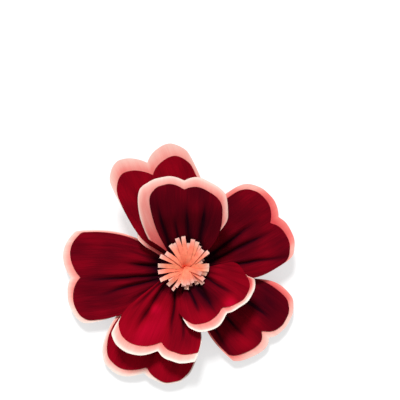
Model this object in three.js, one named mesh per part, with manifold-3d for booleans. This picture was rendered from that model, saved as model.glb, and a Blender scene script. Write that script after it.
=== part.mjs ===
// Crepe paper peony: eight two-ply petals and a fringed centre, gathered at a taped neck.
// Millimetres, +Z up. The axis of the flower is Z, and the tape's flat underside is at z = 0.
import * as THREE from 'three';
import Module from 'manifold-3d';
import { mergeVertices } from 'three/addons/utils/BufferGeometryUtils.js';

const wasm = await Module();
wasm.setup();

// Paper, wire and tape
const sheetThickness = 0.6; // one ply of crepe with its crinkles
const pieceGap = 0.3; // between faces that touch on the real flower
const tapeThickness = 0.8;
const tapeHeight = 6;
const wireDiameter = 0.8;
const wireTurns = 2;
const wireHeight = 2.6; // first turn above the table

// Neck, from the axis outwards
const rollRadius = 4.3;
const waistDepth = 0.8; // how far the wire pulls the roll in
const clawMargin = 0.3; // backing beyond the facing along the claws
const plyPitch = sheetThickness + pieceGap;
const wireRadius = rollRadius - waistDepth + pieceGap + wireDiameter / 2;
const innerClawRadius = wireRadius + wireDiameter / 2 + pieceGap + sheetThickness + pieceGap / 2;
const outerClawRadius = innerClawRadius + 2 * plyPitch;
const tapeInnerRadius = outerClawRadius + pieceGap / 2 + sheetThickness + pieceGap;
const clawFoot = tapeThickness + pieceGap;

// Rings of petals: a claw rises along the neck and bends out over its flare to the shoulder
const innerRing = { clawRadius: innerClawRadius, flare: 5.4, bendRise: 6, widestClaw: 50 };
const outerRing = { clawRadius: outerClawRadius, flare: 6.5, bendRise: 4, widestClaw: 28 };
const tapeToBend = 0.5; // straight claw above the tape
const lowShoulder = tapeHeight + tapeToBend + outerRing.bendRise;
const levelStep = 3.5; // one petal lies over its neighbour by this much at the shoulder
const middleShoulder = lowShoulder + levelStep;
const highShoulder = middleShoulder + levelStep;
const innerShoulder = highShoulder + levelStep;

// Length of the paper that the longest petal is cut from, foot to rim: the main size of the flower
const petalPaper = 100;

// Each petal in its own frame: x runs out from the axis, y to the left seen from above.
// Lengths are in hundredths of petalPaper, apart from shoulder.
// heading: degrees from +X. reach: shoulder to the widest place. front, back: lobe depth before
// and behind it. left, right: half widths. square: 1 is an ellipse, less is squarer.
// tip: height of the rim on the spine. rootSlope, tipSlope: rise per mm at the two ends of the spine.
// cup: rise of the sides. notchFill: share of the notch that the backing closes.
// margin: backing beyond the facing, at the front of the left and right lobes, and at the two sides.
// sideFade: how soon the left and right margins narrow towards the neck.
// sideEnd: where they start to narrow on the way round the rim, 0 at the notch and 1 at the side.
// folds: y near the neck, x and y at the far end, and depth.
const petals = [
  {
    name: 'outer_petal_left', ring: outerRing, shoulder: middleShoulder, heading: 184.5,
    reach: 57, front: 18, back: 54, left: 33.5, right: 32, square: 0.98,
    notch: 12, notchWidth: 12, notchAt: 1, notchFill: 0.3, skew: 1,
    tip: 8, rootSlope: 0, tipSlope: -0.1, cup: 1.5,
    margin: [3, 4.5, 3.5, 1.6], sideFade: [10, 0.5], sideEnd: [0.5, 1],
    folds: [[4.4, 78, 3, 1.6], [5.6, 67, 15.6, 1.2], [-2.2, 46, -6.8, 1.2]],
  },
  {
    name: 'outer_petal_bottom', ring: outerRing, shoulder: lowShoulder, heading: 245.5,
    reach: 50, front: 27.5, back: 26, left: 36, right: 30, square: 0.82,
    notch: 12.5, notchWidth: 14, notchAt: 5.5, notchFill: 0.1, skew: -2,
    tip: 8, rootSlope: 0, tipSlope: -0.1, cup: 0.5,
    margin: [1, 5, 1, 2], sideFade: [2, 2], sideEnd: [1, 1],
    folds: [[-6, 78, -16, 1], [3, 84, 7, 1.2]],
  },
  {
    name: 'outer_petal_lower_right', ring: outerRing, shoulder: lowShoulder, heading: 317.5,
    reach: 53, front: 15, back: 39, left: 35, right: 25, square: 0.9,
    notch: 9, notchWidth: 4.5, notchAt: 4.5, notchFill: 0.4, skew: 6,
    tip: 8, rootSlope: 0, tipSlope: -0.1, cup: 0.5,
    margin: [3, 5.5, 4.5, 1.5], sideFade: [10, 2], sideEnd: [0.7, 1],
    folds: [[-3, 76, -8, 1.4], [9, 80, 17, 1]],
  },
  {
    name: 'outer_petal_right', ring: outerRing, shoulder: middleShoulder, heading: 34,
    reach: 47.5, front: 19, back: 46, left: 25, right: 38, square: 0.9,
    notch: 9, notchWidth: 8, notchAt: -8, notchFill: 0.4, skew: 0,
    tip: 18, rootSlope: 0.1, tipSlope: 0.05, cup: 1,
    margin: [4, 4, 3.5, 0.5], sideFade: [2, 2], sideEnd: [1, 1],
    folds: [[-3.6, 70, -1.5, 1.8], [-6.5, 74, -14, 1.6], [-10, 74, -38, 1]],
  },
  {
    name: 'outer_petal_top_left', ring: outerRing, shoulder: highShoulder, heading: 114,
    reach: 47.5, front: 24, back: 44, left: 22, right: 36, square: 0.76,
    notch: 14, notchWidth: 12, notchAt: -7.5, notchFill: 0, skew: 0,
    tip: 34, rootSlope: 0.25, tipSlope: 0.2, cup: 1,
    margin: [9.5, 9.5, 2, 3], sideFade: [10, 2], sideEnd: [0.5, 1],
    folds: [[5, 72, 10, 1.2], [-4, 76, -7, 1]],
  },
  {
    name: 'inner_petal_bottom', ring: innerRing, shoulder: innerShoulder, heading: 248,
    reach: 40.5, front: 14, back: 28, left: 32.5, right: 29.5, square: 0.98,
    notch: 9, notchWidth: 10, notchAt: 5, notchFill: 0, skew: -4.5,
    tip: 25, rootSlope: 0, tipSlope: 0.3, cup: 1,
    margin: [6.5, 7, 0.5, 3], sideFade: [10, 10], sideEnd: [1, 0.6],
    folds: [[-7.5, 60, -16.5, 1.8], [-1.5, 54, 11, 1.4], [5, 52, 21, 1.2]],
  },
  {
    name: 'inner_petal_lower_right', ring: innerRing, shoulder: innerShoulder + levelStep, heading: 310,
    reach: 14, front: 21.5, back: 12, left: 33, right: 23, square: 0.78,
    notch: 8, notchWidth: 13, notchAt: 3.5, notchFill: 0, skew: 5,
    tip: 31, rootSlope: 0.1, tipSlope: 0.4, cup: 1.5,
    margin: [5, 6.5, 3, 1.5], sideFade: [10, 10], sideEnd: [0.45, 0.5],
    folds: [[0.5, 42, -2, 1.6], [7, 40, 16, 0.8]],
  },
  {
    name: 'inner_petal_top', ring: innerRing, shoulder: innerShoulder, heading: 90,
    reach: 38, front: 13, back: 41, left: 24, right: 28, square: 0.88,
    notch: 4, notchWidth: 6, notchAt: -2.5, notchFill: 0, skew: 2.5,
    tip: 48, rootSlope: 0.5, tipSlope: 0.15, cup: 3,
    margin: [5.5, 5.5, 8.5, 4], sideFade: [0.5, 10], sideEnd: [1, 0.6],
    folds: [[8.5, 52, 20, 1.4], [-5, 54, -1, 1.4], [-11, 52, -16.5, 1.4]],
  },
];
const petalLengths = [
  'reach', 'front', 'back', 'left', 'right', 'notch', 'notchWidth', 'notchAt', 'skew', 'tip', 'cup',
];

// Folds run out from the neck and fade towards their far ends
const foldOnset = 6; // beyond the shoulder, where the folds are full
const foldNearWidth = 2;
const foldFarWidth = 4;
const foldFade = 0.4; // share of its length where a fold starts to fade
const cupOnset = 0.35; // share of the spine where the sides have their full rise
const lobeBlend = 0.15; // front margins of the two lobes blend over this share of the way across
const marginTurn = 0.3; // a rim that faces sideways by more than this gets no front margin
const sideOnset = 0.15; // side margins start at this share of the way across
const sideFull = 0.8;
const sideEndBlend = 0.3; // share of the way across over which a side margin ends
const sideAtShoulder = 0.2; // share of the side margin left at the shoulder

// Fringed centre: rings of square-cut strips, from the outside of the roll inwards
const rollTop = innerShoulder - 2;
const stripWidth = 3.2;
const stripThickness = 0.5;
const stripSpread = 0.8; // how much of the roll's edge the strips fill at their roots
const stripRoot = 1; // strips start this far down in the roll
const stripSway = 0.25; // unevenness of the strips, as a share of their spacing
const stripRagged = 0.05; // unevenness of their reach
const tuftLean = 3.5; // the fringe is combed towards +Y
const fringeReach = 20; // from the axis to the tips, and from the roll to the top of the fringe
const fringeRings = [
  { count: 24, root: 0.175, knee: 0.35, kneeRise: 0.6, tip: 0.975, tipRise: 0.65 },
  { count: 17, root: 0.12, knee: 0.225, kneeRise: 0.75, tip: 0.65, tipRise: 0.85 },
  { count: 9, root: 0.06, knee: 0.1, kneeRise: 0.85, tip: 0.3, tipRise: 1 },
];

// Mesh fineness
const columns = 18;
const bladeRows = 6;
const bendRows = 2;
const stripSteps = 4;
const roundSides = 32;
const wireSteps = 18; // along each turn
const wireSides = 3; // along each half of its section
const degree = Math.PI / 180;

const facingPaper = new THREE.MeshStandardMaterial({ color: 0x96041e, roughness: 0.85, metalness: 0 });
const backingPaper = new THREE.MeshStandardMaterial({ color: 0xf8b4aa, roughness: 0.85, metalness: 0 });
const fringePaper = new THREE.MeshStandardMaterial({ color: 0xf77f69, roughness: 0.85, metalness: 0 });
const floralTape = new THREE.MeshStandardMaterial({ color: 0x5d7a45, roughness: 0.7, metalness: 0 });
const wirePaint = new THREE.MeshStandardMaterial({ color: 0x4d6b3c, roughness: 0.5, metalness: 0.3 });

const { clamp, lerp, smoothstep } = THREE.MathUtils;

function powered(value, exponent) {
  return Math.sign(value) * Math.abs(value) ** exponent;
}

function setLengths(petal) {
  const hundredth = petalPaper / 100;
  petalLengths.forEach((length) => {
    petal[length] *= hundredth;
  });
  petal.margin = petal.margin.map((width) => width * hundredth);
  petal.folds = petal.folds.map((fold) => fold.map((length) => length * hundredth));
}

// Claws share their ring: each takes its place up to halfway to its neighbours
function setClawSpans(ring) {
  const inRing = petals.filter((petal) => petal.ring === ring);
  inRing.sort((a, b) => a.heading - b.heading);
  const room = (clawMargin + pieceGap / 2) / (ring.clawRadius - sheetThickness);
  inRing.forEach((petal, index) => {
    const next = inRing[(index + 1) % inRing.length];
    const step = ((next.heading - petal.heading + 360) % 360) * degree;
    const span = Math.min(step / 2 - room, ring.widestClaw * degree);
    petal.leftSpan = span;
    next.rightSpan = span;
  });
}

function shoulderRadius(petal) {
  return petal.ring.clawRadius + petal.ring.flare;
}

function clawAngle(petal, across) {
  return across * (across > 0 ? petal.leftSpan : petal.rightSpan);
}

function notchDip(petal, y) {
  return petal.notch * Math.exp(-Math.abs(y - petal.notchAt) / petal.notchWidth);
}

// Rounded lobe with a notch: turn 0 points out along the petal, positive turns go left
function lobePoint(petal, turn) {
  const ahead = powered(Math.cos(turn), petal.square);
  const aside = powered(Math.sin(turn), petal.square);
  const halfWidth = aside > 0 ? petal.left : petal.right;
  const depth = ahead > 0 ? petal.front : petal.back;
  const y = halfWidth * aside;
  const dip = notchDip(petal, y) * clamp(3 * Math.cos(turn), 0, 1);
  const lean = petal.skew * aside * Math.max(ahead, 0);
  const x = shoulderRadius(petal) + petal.reach + depth * ahead + lean;
  return new THREE.Vector2(x - dip, y);
}

// The side of a petal is straight from its shoulder to where it touches the lobe
function touchingTurn(petal, side) {
  const angle = clawAngle(petal, side);
  const start = new THREE.Vector2(Math.cos(angle), Math.sin(angle)).multiplyScalar(shoulderRadius(petal));
  let best = { turn: 0, spread: -Infinity };
  for (let angleBack = Math.PI / 2 + degree; angleBack < Math.PI; angleBack += degree) {
    const turn = side * angleBack;
    const point = lobePoint(petal, turn);
    const spread = Math.atan2(side * (point.y - start.y), point.x - start.x);
    if (spread > best.spread) best = { turn, spread };
  }
  return best.turn;
}

// across runs from -1 at the right side through 0 at the notch to 1 at the left side
function rimPoint(petal, across) {
  const notchTurn = Math.asin(petal.notchAt / (petal.notchAt > 0 ? petal.left : petal.right));
  const end = across > 0 ? petal.leftTurn : petal.rightTurn;
  return lobePoint(petal, lerp(notchTurn, end, Math.abs(across)));
}

function spineLength(petal) {
  return petal.reach + petal.front;
}

function foldHeight(petal, place) {
  const outer = shoulderRadius(petal);
  const onset = smoothstep(place.x - outer, 0, foldOnset);
  return petal.folds.reduce((height, [nearY, farX, farY, depth]) => {
    const share = (place.x - outer) / (farX - outer);
    const off = place.y - lerp(nearY, farY, share);
    const width = lerp(foldNearWidth, foldFarWidth, clamp(share, 0, 1));
    const fade = onset * (1 - smoothstep(share, foldFade, 1));
    return height - depth * fade * Math.exp(-((off / width) ** 2));
  }, 0);
}

// Height of the sheet over a place in the plan
function bladeHeight(petal, place) {
  const length = spineLength(petal);
  const s = (place.length() - shoulderRadius(petal)) / length;
  const rise = petal.tip - petal.shoulder;
  const spine = petal.shoulder
    + rise * s * s * (3 - 2 * s)
    + petal.rootSlope * length * s * (1 - s) ** 2
    - petal.tipSlope * length * s * s * (1 - s);
  const aside = place.y / Math.max(petal.left, petal.right);
  return spine + smoothstep(s, 0, cupOnset) * petal.cup * aside * aside + foldHeight(petal, place);
}

// Middle of the two plies: rows run from the foot of the claw to the rim
function petalRows(petal) {
  const radius = petal.ring.clawRadius;
  const outer = shoulderRadius(petal);
  const bendStart = petal.shoulder - petal.ring.bendRise;
  const bendCorner = petal.shoulder - petal.rootSlope * petal.ring.flare;
  const bend = new THREE.QuadraticBezierCurve(
    new THREE.Vector2(radius, bendStart),
    new THREE.Vector2(radius, bendCorner),
    new THREE.Vector2(outer, petal.shoulder),
  );
  const clawStations = [new THREE.Vector2(radius, clawFoot), ...bend.getPoints(bendRows)];
  const acrossSteps = Array.from({ length: columns + 1 }, (_, index) => (2 * index) / columns - 1);
  const rows = clawStations.map((station) => acrossSteps.map((across) => {
    const angle = clawAngle(petal, across);
    return new THREE.Vector3(station.x * Math.cos(angle), station.x * Math.sin(angle), station.y);
  }));
  for (let row = 1; row <= bladeRows; row += 1) {
    const along = row / bladeRows;
    rows.push(acrossSteps.map((across) => {
      const angle = clawAngle(petal, across);
      const start = new THREE.Vector2(Math.cos(angle), Math.sin(angle)).multiplyScalar(outer);
      const place = start.lerp(rimPoint(petal, across), along);
      return new THREE.Vector3(place.x, place.y, bladeHeight(petal, place));
    }));
  }
  return rows;
}

// Edge of the facing from the right foot round the rim to the left foot
function edgePath(rows) {
  const last = rows.length - 1;
  const path = [];
  rows.forEach((row, index) => path.push({ row: index, column: 0 }));
  for (let column = 1; column < columns; column += 1) path.push({ row: last, column });
  rows.forEach((row, index) => path.push({ row: last - index, column: columns }));
  return path;
}

// Edge of the backing: the facing's edge set out by the petal's margins, front and sides
function backingEdge(petal, rows, path) {
  const shoulderRow = bendRows + 1;
  const [frontLeft, frontRight, left, right] = petal.margin;
  return path.map((station, index) => {
    const here = rows[station.row][station.column];
    const across = (2 * station.column) / columns - 1;
    const along = (station.row - shoulderRow) / bladeRows;
    if (along <= 0) {
      const radius = Math.hypot(here.x, here.y);
      return here.clone().applyAxisAngle(new THREE.Vector3(0, 0, 1), (across * clawMargin) / radius);
    }
    const before = rows[path[index - 1].row][path[index - 1].column];
    const after = rows[path[index + 1].row][path[index + 1].column];
    const facesOut = (after.y - before.y) / Math.hypot(after.x - before.x, after.y - before.y);
    const front = lerp(frontRight, frontLeft, smoothstep(across, -lobeBlend, lobeBlend))
      + petal.notchFill * notchDip(petal, here.y);
    const outward = front * smoothstep(facesOut, -marginTurn, marginTurn);
    const side = across > 0 ? 0 : 1;
    const sideways = across > 0 ? left : -right;
    const end = petal.sideEnd[side];
    const ending = 1 - smoothstep(Math.abs(across), end, end + sideEndBlend);
    const taper = lerp(sideAtShoulder, 1, along ** petal.sideFade[side] * ending);
    const growth = smoothstep(Math.abs(across), sideOnset, sideFull) * taper;
    const place = new THREE.Vector2(here.x + outward, here.y + sideways * growth);
    return new THREE.Vector3(place.x, place.y, bladeHeight(petal, place));
  });
}

// Points, cells and edge loops of a petal's two plies on one shared net
function petalNet(petal) {
  const rows = petalRows(petal);
  const points = rows.flat();
  const rowSize = columns + 1;
  const at = (row, column) => row * rowSize + column;
  const cells = [];
  for (let row = 0; row < rows.length - 1; row += 1) {
    for (let column = 0; column < columns; column += 1) {
      cells.push([at(row, column), at(row + 1, column), at(row + 1, column + 1), at(row, column + 1)]);
    }
  }
  const path = edgePath(rows);
  const pathIndices = path.map((station) => at(station.row, station.column));
  const firstEdge = points.length;
  points.push(...backingEdge(petal, rows, path));
  const marginCells = [];
  for (let index = 0; index < path.length - 1; index += 1) {
    const outside = firstEdge + index;
    marginCells.push([pathIndices[index], outside, outside + 1, pathIndices[index + 1]]);
  }
  const foot = Array.from({ length: columns - 1 }, (_, index) => at(0, columns - 1 - index));
  const edgeIndices = path.map((_, index) => firstEdge + index);
  return {
    points,
    facing: { cells, loop: [...pathIndices, ...foot] },
    backing: {
      cells: [...cells, ...marginCells],
      loop: [...edgeIndices, at(0, columns), ...foot, at(0, 0)],
    },
  };
}

function netNormals(points, cells) {
  const normals = points.map(() => new THREE.Vector3());
  cells.forEach(([a, b, c, d]) => {
    const normal = points[c].clone().sub(points[a]).cross(points[d].clone().sub(points[b]));
    [a, b, c, d].forEach((index) => normals[index].add(normal));
  });
  return normals.map((normal) => normal.normalize());
}

// Closed sheet: the net moved along its normals to two faces, with a wall round the loop
function plyGeometry(points, normals, ply, offset) {
  const used = [...new Set(ply.cells.flat())];
  const order = new Map(used.map((pointIndex, index) => [pointIndex, index]));
  const face = (shift) => used.map((index) => points[index].clone().addScaledVector(normals[index], shift));
  const vertices = [...face(offset + sheetThickness / 2), ...face(offset - sheetThickness / 2)];
  const under = used.length;
  const triangles = [];
  ply.cells.forEach((cell) => {
    const [a, b, c, d] = cell.map((pointIndex) => order.get(pointIndex));
    triangles.push(a, b, c, a, c, d);
    triangles.push(under + c, under + b, under + a, under + d, under + c, under + a);
  });
  ply.loop.forEach((pointIndex, index) => {
    const p = order.get(pointIndex);
    const q = order.get(ply.loop[(index + 1) % ply.loop.length]);
    triangles.push(p, under + p, under + q, p, under + q, q);
  });
  const geometry = new THREE.BufferGeometry();
  const coordinates = vertices.flatMap((vertex) => vertex.toArray());
  geometry.setAttribute('position', new THREE.Float32BufferAttribute(coordinates, 3));
  geometry.setIndex(triangles);
  return geometry;
}

function buildPetal(petal) {
  petal.leftTurn = touchingTurn(petal, 1);
  petal.rightTurn = touchingTurn(petal, -1);
  const net = petalNet(petal);
  const normals = netNormals(net.points, net.backing.cells);
  const group = new THREE.Group();
  group.rotation.z = petal.heading * degree;
  const facing = plyGeometry(net.points, normals, net.facing, plyPitch / 2);
  const backing = plyGeometry(net.points, normals, net.backing, -plyPitch / 2);
  group.add(namedMesh(`${petal.name}_facing`, facing, facingPaper));
  group.add(namedMesh(`${petal.name}_backing`, backing, backingPaper));
  return group;
}

function namedMesh(name, geometry, material) {
  const mesh = new THREE.Mesh(geometry, material);
  mesh.name = name;
  return mesh;
}

function toSolid(geometry) {
  const bare = geometry.clone();
  bare.deleteAttribute('normal');
  bare.deleteAttribute('uv');
  const merged = mergeVertices(bare, 1e-4);
  return new wasm.Manifold(new wasm.Mesh({
    numProp: 3,
    vertProperties: new Float32Array(merged.attributes.position.array),
    triVerts: new Uint32Array(merged.index.array),
  }));
}

function fromSolid(solid) {
  const mesh = solid.getMesh();
  const geometry = new THREE.BufferGeometry();
  geometry.setAttribute('position', new THREE.BufferAttribute(mesh.vertProperties, 3));
  geometry.setIndex(new THREE.BufferAttribute(mesh.triVerts, 1));
  return geometry;
}

// Rolled strip below the fringe, pulled in where the wire goes round it
function rollGeometry() {
  const waist = rollRadius - waistDepth;
  const waistBottom = wireHeight - wireDiameter / 2 - pieceGap;
  const waistTop = waistBottom + (wireTurns + 1) * wireDiameter + (wireTurns + 2) * pieceGap;
  const profile = [
    [0, clawFoot],
    [rollRadius - waistDepth / 2, clawFoot],
    [waist, waistBottom],
    [waist, waistTop],
    [rollRadius, waistTop + waistDepth],
    [rollRadius, rollTop],
    [0, rollTop],
  ].map(([radius, height]) => new THREE.Vector2(radius, height));
  return new THREE.LatheGeometry(profile, roundSides).rotateX(Math.PI / 2);
}

// One strip of fringe: a box bent along a curve, narrow at the roll and square at the tip
function stripGeometry(ring, index) {
  const sway = Math.sin(index * 2.4 + ring.count);
  const turn = ((index + stripSway * sway) * 2 * Math.PI) / ring.count;
  const out = new THREE.Vector3(Math.cos(turn), Math.sin(turn), 0);
  const side = new THREE.Vector3(-out.y, out.x, 0);
  const place = (radius, rise, lean) => (
    new THREE.Vector3(radius * out.x, radius * out.y + lean, rollTop + rise)
  );
  const root = ring.root * fringeReach;
  const reach = ring.tip * fringeReach * (1 + stripRagged * sway);
  const curve = new THREE.QuadraticBezierCurve3(
    place(root, -stripRoot, 0),
    place(ring.knee * fringeReach, ring.kneeRise * fringeReach, tuftLean / 2),
    place(reach, (ring.tipRise + stripRagged * sway) * fringeReach, tuftLean),
  );
  const rootWidth = Math.min((stripSpread * 2 * Math.PI * root) / ring.count, stripWidth);
  const geometry = new THREE.BoxGeometry(1, 1, 1, 1, 1, stripSteps);
  const position = geometry.attributes.position;
  for (let vertex = 0; vertex < position.count; vertex += 1) {
    const along = position.getZ(vertex) + 0.5;
    const tangent = curve.getTangent(along);
    const up = tangent.clone().cross(side).normalize();
    const point = curve.getPoint(along)
      .addScaledVector(side, position.getX(vertex) * lerp(rootWidth, stripWidth, along))
      .addScaledVector(up, position.getY(vertex) * stripThickness);
    position.setXYZ(vertex, point.x, point.y, point.z);
  }
  return geometry;
}

function buildFringe() {
  const strips = fringeRings.flatMap((ring) => (
    Array.from({ length: ring.count }, (_, index) => toSolid(stripGeometry(ring, index)))
  ));
  const joined = strips.reduce((sum, strip) => sum.add(strip), toSolid(rollGeometry()));
  return namedMesh('fringed_centre', fromSolid(joined), fringePaper);
}

class WireTurns extends THREE.Curve {
  getPoint(t, target = new THREE.Vector3()) {
    const angle = t * wireTurns * 2 * Math.PI;
    const climb = t * wireTurns * (wireDiameter + pieceGap);
    return target.set(wireRadius * Math.cos(angle), wireRadius * Math.sin(angle), wireHeight + climb);
  }
}

function buildWire() {
  const section = new THREE.Shape().absarc(0, 0, wireDiameter / 2, 0, 2 * Math.PI);
  const geometry = new THREE.ExtrudeGeometry(section, {
    extrudePath: new WireTurns(),
    steps: wireSteps * wireTurns,
    curveSegments: wireSides,
    bevelEnabled: false,
  });
  return namedMesh('binding_wire', geometry, wirePaint);
}

function buildTape() {
  const outerRadius = tapeInnerRadius + tapeThickness;
  const profile = [
    [0, 0],
    [outerRadius, 0],
    [outerRadius, tapeHeight],
    [tapeInnerRadius, tapeHeight],
    [tapeInnerRadius, tapeThickness],
    [0, tapeThickness],
  ].map(([radius, height]) => new THREE.Vector2(radius, height));
  const geometry = new THREE.LatheGeometry(profile, roundSides).rotateX(Math.PI / 2);
  return namedMesh('neck_tape', geometry, floralTape);
}

petals.forEach(setLengths);
setClawSpans(innerRing);
setClawSpans(outerRing);

const peony = new THREE.Group();
peony.add(buildTape(), buildWire(), buildFringe());
petals.forEach((petal) => peony.add(buildPetal(petal)));

export default peony;
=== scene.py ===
# Crepe paper peony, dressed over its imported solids. The solids' sizes are in millimetres here,
# as they were drawn, and mm turns them into metres.
import math

import bmesh
import bpy
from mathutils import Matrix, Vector, noise


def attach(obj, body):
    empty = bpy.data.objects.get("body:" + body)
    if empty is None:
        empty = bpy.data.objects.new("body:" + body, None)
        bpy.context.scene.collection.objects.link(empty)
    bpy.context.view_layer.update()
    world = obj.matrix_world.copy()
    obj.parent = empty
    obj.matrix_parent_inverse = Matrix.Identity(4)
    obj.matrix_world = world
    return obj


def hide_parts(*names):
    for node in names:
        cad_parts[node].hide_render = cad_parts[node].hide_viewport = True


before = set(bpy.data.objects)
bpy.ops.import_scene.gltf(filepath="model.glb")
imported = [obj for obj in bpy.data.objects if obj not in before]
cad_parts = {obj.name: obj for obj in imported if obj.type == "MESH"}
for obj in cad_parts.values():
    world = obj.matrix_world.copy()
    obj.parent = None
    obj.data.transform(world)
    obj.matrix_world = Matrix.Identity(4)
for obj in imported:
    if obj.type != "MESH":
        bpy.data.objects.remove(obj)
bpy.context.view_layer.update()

mm = 0.001
print("frame loaded:", len(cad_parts), "nodes")

# Camera straight above, where the photograph was taken from
photo = {
    "size": 400,
    "mmPerPixel": 0.75,  # at the height of the table
    "axisAt": (184, 267),  # pixel under the flower's axis
    "height": 900,
    "sensor": 36,
    "clip": (0.01, 20),  # nearest and furthest, in metres
}


def makeCamera():
    data = bpy.data.cameras.new("camera")
    data.sensor_width = photo["sensor"]
    data.lens = photo["sensor"] * photo["height"] / (photo["size"] * photo["mmPerPixel"])
    data.clip_start, data.clip_end = photo["clip"]
    camera = bpy.data.objects.new("camera", data)
    middle = photo["size"] / 2
    x = (middle - photo["axisAt"][0]) * photo["mmPerPixel"]
    y = (photo["axisAt"][1] - middle) * photo["mmPerPixel"]
    camera.location = (x * mm, y * mm, photo["height"] * mm)
    bpy.context.scene.collection.objects.link(camera)
    bpy.context.scene.camera = camera


makeCamera()
print("camera ready")

# Neck of the flower, from the axis outwards
neck = {
    "innerClaw": 5.65,  # radius between the two plies of an inner petal's claw
    "outerClaw": 7.45,
    "innerFlare": 5.4,  # from there out to the shoulder, where the blade starts
    "outerFlare": 6.5,
    "innerBend": 6,  # height of the bend below the shoulder
    "outerBend": 4,
    "innerWidest": 50,  # degrees to each side that a claw may take up
    "outerWidest": 28,
    "foot": 1.1,  # height of the claws' lower ends
    "lowShoulder": 10.5,
    "levelStep": 3.5,  # one petal lies over its neighbour by this much
    "clawMargin": 0.3,  # backing beyond the facing along the claws
    "gap": 0.3,
    "solidPaper": 0.6,
}
lowShoulder = neck["lowShoulder"]
middleShoulder = lowShoulder + neck["levelStep"]
highShoulder = middleShoulder + neck["levelStep"]
innerShoulder = highShoulder + neck["levelStep"]

# Paper as it really is: thinner than its solids
paper = {
    "thickness": 0.34,
    "plyOffset": 0.3,  # each ply's middle from the middle of the pair
    "columns": 132,
    "rows": 76,
    "clawShare": 0.16,  # share of the rows in the claw and its bend
    "straightShare": 0.45,  # share of those that stand straight, below the bend
    "grainGather": 1.6,  # how much closer the grain lies at the neck
    "grainReach": 14,
    "clawGrain": 15,  # how far back the grain map starts for the claw, and for its bend
    "bendGrain": 8,
    "cupOnset": 0.35,  # share of the spine where the sides have their full rise
}
cutEdge = 50  # edges that turn by more degrees than this show as cut
slopeStep = 0.2  # distance over which a blade's slope is taken

# Cut rims, and the margin of the backing beyond the facing
rimCut = {
    "handCut": 0.9,  # how far the scissors wander, how often on each lobe, and how true the sides stay
    "wanders": 6,
    "trueSides": 3,
    "notchHold": 3,  # how far a notch reaches round the rim
}
marginShape = {
    "lobeBlend": 0.15,  # share of the way across over which one lobe's front margin becomes the other's
    "sidewaysRim": 0.3,  # a rim that faces sideways by more than this gets no front margin
    "sideFrom": (0.15, 0.8),  # shares of the way across where side margins start and are full
    "sideBlend": 0.3,  # share of the way across over which a side margin ends
    "neckFrom": (0.82, 0.88),  # shares of the way across where a margin close to the neck starts
    "shoulderBlend": 0.15,  # share of the way along over which side margins leave the shoulder
    "tuckedIn": -0.12,  # share of its side margin that the backing lies under the facing by the neck
    "probe": 0.01,  # step across that gives the rim's direction
    "leastRun": 1e-6,  # keeps the division safe where the rim has no length
}

# Petals as in the solids, with the folds that show in the photograph.
# reach: from the shoulder to where the lobe is widest. front, back, left, right: its size from there
# square: 1 for a round lobe, less for a squarer one. skew: how much further out its left side lies
# notch, notchWidth, notchAt: its depth, width and place left of the heading
# tip, rootSlope, tipSlope, cup: height of the rim, slopes of the blade's ends, rise of its sides
# dye: 0 for a light red, 1 for a deep one, partly the paper's own dye and partly painted shade on petals
# that lie in shade
# folds and creases: left of the heading near the neck, the far end's distance and left, and depth
# swells: ahead, left, radius and height of a swelling, and how much painted highlight lightens it, below
# zero how much painted shade darkens it
# paleRimHighlight, blush: how far the pink pales to cream at the rim, partly a painted highlight, or
# deepens to coral at a side or at the notch, partly painted shade, and below zero pales as painted light
# margin: backing beyond the facing, at the front of the left and right lobes, and at the left and right
# sideFade: how soon the side margins, left and right, narrow towards the neck
# sideEnd, sideBlend: share of the way to the side at which they end, and over which they do
# notchFill: share of the notch that the backing closes
# neckMargin: backing beyond the facing at the left, close to the neck
# rightSetback: how much nearer to the neck the right lobe is widest
# leftWaist: how much slimmer the left side is towards the neck
outerLeft = {
    "node": "outer_petal_left", "ring": "outer", "shoulder": middleShoulder, "heading": 184.5,
    "reach": 57, "front": 18, "back": 54, "left": 33.5, "right": 32, "square": 0.98,
    "notch": 12, "notchWidth": 12, "notchFill": 0.3, "notchAt": 1, "skew": 1,
    "tip": 8, "rootSlope": 0, "tipSlope": -0.1, "cup": 1.5, "margin": (3, 4.5, 3.5, 1.6),
    "folds": ((4.4, 78, 3, 1.6), (5.6, 67, 15.6, 1.2), (-2.2, 46, -6.8, 1.2)),
    "creases": ((4.4, 78, 3, 1.3), (5.6, 67, 15.6, 1.1), (-2.2, 44, -6.8, 1.2),
                (-6, 50, -20, 0.2), (8, 48, 24, 0.4)),
    "dyeAndShade": 0.76, "paleRimHighlight": 0.3, "blushAndShade": (0, 0.1), "notchBlushAndShade": 0.12,
    "sideFade": (10, 0.5), "sideEnd": (0.5, 1),
    "swells": ((45, -14, 14, 1, 0.08), (52, 16, 12, 0.8, -0.05), (30, -12, 8, 0.6, 0)),
    "seed": 1.3,
}
outerBottom = {
    "node": "outer_petal_bottom", "ring": "outer", "shoulder": lowShoulder, "heading": 245.5,
    "reach": 50, "front": 27.5, "back": 26, "left": 36, "right": 30, "square": 0.82,
    "notch": 12.5, "notchWidth": 14, "notchFill": 0.1, "notchAt": 5.5, "skew": -2,
    "tip": 8, "rootSlope": 0, "tipSlope": -0.1, "cup": 0.5, "margin": (1, 5, 1, 2),
    "folds": ((-6, 78, -16, 1), (3, 84, 7, 1.2)),
    "creases": ((-6, 78, -16, 0.9), (3, 84, 7, 1), (9, 74, 24, 0.9)),
    "dyeAndShade": 0.25, "paleRimHighlight": 0.4, "blushAndShade": (0, 0), "sideFade": (2, 2), "sideEnd": (1, 1),
    "swells": ((66, -20, 12, 1.4, 0.1), (68, 18, 12, 1.2, 0.05)),
    "seed": 2.7,
}
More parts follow.
